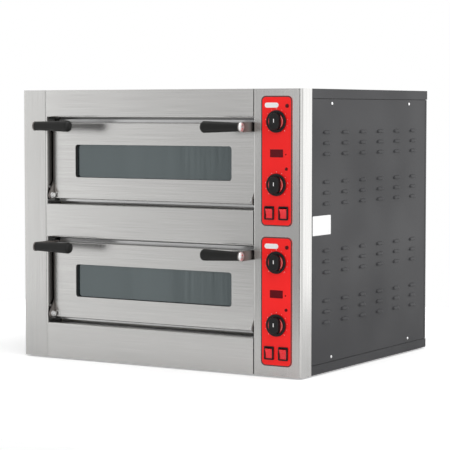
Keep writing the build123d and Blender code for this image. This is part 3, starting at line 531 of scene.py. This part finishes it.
def seam_shade_strips():
    """Dark strips that close the joints round the side and back panels from inside: painted shade that keeps
    the seams dark.
    """
    lap, strip_in, strip_out = 6 * MM, 2.9 * MM, 1.7 * MM
    panel_low, panel_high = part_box("right_side_panel")
    low_z, high_z = panel_low.z, panel_high.z
    back_y = cover_high.y
    mesh = bmesh.new()
    for side in (1, -1):
        x_in, x_out = sorted((side * (cover_high.x - strip_in), side * (cover_high.x - strip_out)))
        for z in (low_z, high_z):
            add_box(mesh, (x_in, panel_low.y, z - lap), (x_out, back_y - lap, z + lap))
        add_box(mesh, (x_in, panel_high.y - lap, low_z + lap), (x_out, back_y - lap, high_z - lap))
    left_x, right_x = cover_low.x + lap, cover_high.x - lap
    for z in (low_z, high_z):
        add_box(mesh, (left_x, back_y - strip_in, z - lap), (right_x, back_y - strip_out, z + lap))
    finish_mesh("seam_shade_strips", mesh, black_rubber, "cabinet")


# Painted shade: dark strips behind the panel seams.
seam_shade_strips()


# ---------------------------------------------------------------- control panels

def flat_piece(name, outline, center, y, proud, look, body, hole=None):
    """A thin printed or moulded plate on a front face."""
    mesh = bmesh.new()
    front_plate(mesh, outline, center, y, proud, hole)
    finish_mesh(name, mesh, look, body)


def panel_print(deck, low, high):
    """The black outline round a control panel and the plain badge near its top."""
    width, height = high.x - low.x, high.z - low.z
    edge, line = 0.2 * MM, 6 * MM
    flat_piece(
        f"{deck}_panel_outline", rounded_outline(width - edge, height - edge, 13 * MM),
        ((low.x + high.x) / 2, (low.z + high.z) / 2), low.y, 0.15 * MM, black_outline, "cabinet",
        hole=rounded_outline(width - line, height - line, 10.5 * MM),
    )
    flat_piece(
        f"{deck}_panel_badge", rounded_outline(41 * MM, 13 * MM, 6.4 * MM),
        (low.x + 31 * MM, high.z - 24 * MM), low.y, 0.25 * MM, white_print, "cabinet",
    )


def knob_details(knob, body, hub, pointer_y):
    """The red face inside a knob's skirt, a pinkish ring round it that is a painted highlight on the skirt's
    rim, and the pointer on its grip.
    """
    skirt_y = FRONT_Y - 6 * MM
    flat_piece(
        f"{knob}_face", circle(22 * MM), hub, skirt_y, 0.2 * MM, knob_red, body,
        hole=circle(9 * MM),
    )
    # A thin pinkish torus at the rim: painted highlight.
    bpy.ops.mesh.primitive_torus_add(
        major_radius=19.6 * MM,
        minor_radius=0.6 * MM,
        major_segments=64,
        minor_segments=12,
        location=(hub[0], skirt_y, hub[1]),
        rotation=(math.pi / 2, 0, 0),
    )
    rim = bpy.context.object
    rim.name = f"{knob}_rim"
    rim.data.materials.append(knob_painted_highlight)
    bpy.ops.object.shade_smooth()
    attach(rim, body)
    flat_piece(
        f"{knob}_pointer", rounded_outline(2.2 * MM, 10 * MM, 1 * MM), (hub[0], hub[1] + 2 * MM),
        pointer_y, 0.2 * MM, white_print, body,
    )


TICKS, TICK_FIRST_DEG, TICK_PITCH_DEG, LONG_TICK_EVERY = 11, 225, 27, 5
TICK_START, TICK_SHORT, TICK_LONG, TICK_HALF_WIDTH = 32 * MM, 1.6 * MM, 2.6 * MM, 0.35 * MM


def dial_marks(name, hub, panel_y):
    """Tick marks printed round a knob."""
    mesh = bmesh.new()
    for tick in range(TICKS):
        angle = math.radians(TICK_FIRST_DEG - TICK_PITCH_DEG * tick)
        outward = Vector((math.cos(angle), math.sin(angle)))
        sideways = Vector((-math.sin(angle), math.cos(angle))) * TICK_HALF_WIDTH
        start = outward * TICK_START
        end = outward * (TICK_START + (TICK_LONG if tick % LONG_TICK_EVERY == 0 else TICK_SHORT))
        corners = (start - sideways, end - sideways, end + sideways, start + sideways)
        front_plate(mesh, [tuple(corner) for corner in corners], hub, panel_y, 0.1 * MM)
    finish_mesh(name, mesh, white_print, "cabinet")


for deck in DECKS:
    low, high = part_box(f"{deck}_control_panel")
    panel_print(deck, low, high)
    for place in ("ceiling", "floor"):
        knob = f"{deck}_{place}_knob"
        knob_low, knob_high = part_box(knob)
        hub = ((knob_low.x + knob_high.x) / 2, (knob_low.z + knob_high.z) / 2)
        knob_details(knob, f"{knob}_body", hub, knob_low.y)
        dial_marks(f"{deck}_{place}_dial_marks", hub, low.y)


# ---------------------------------------------------------------- floor

FLOOR_SIZE = 2.8


def pale_floor():
    """A pale floor material that looks brighter to the camera than to the steel."""
    made, tree, shader = material("floor", (0.86, 0.86, 0.86), 0.6)
    shader.inputs["Emission Color"].default_value = (1, 1, 1, 1)
    for socket, mirrored, seen in (("Base Color", 0.8, 0.86), ("Emission Strength", 0.1, 0.4)):
        level = map_range(tree, is_camera_ray(tree), 0, 1, mirrored, seen)
        tree.links.new(level, shader.inputs[socket])
    return made


bpy.ops.mesh.primitive_plane_add(size=FLOOR_SIZE, location=(0, 0, 0))
floor = bpy.context.object
floor.name = "floor"
floor.data.materials.append(pale_floor())
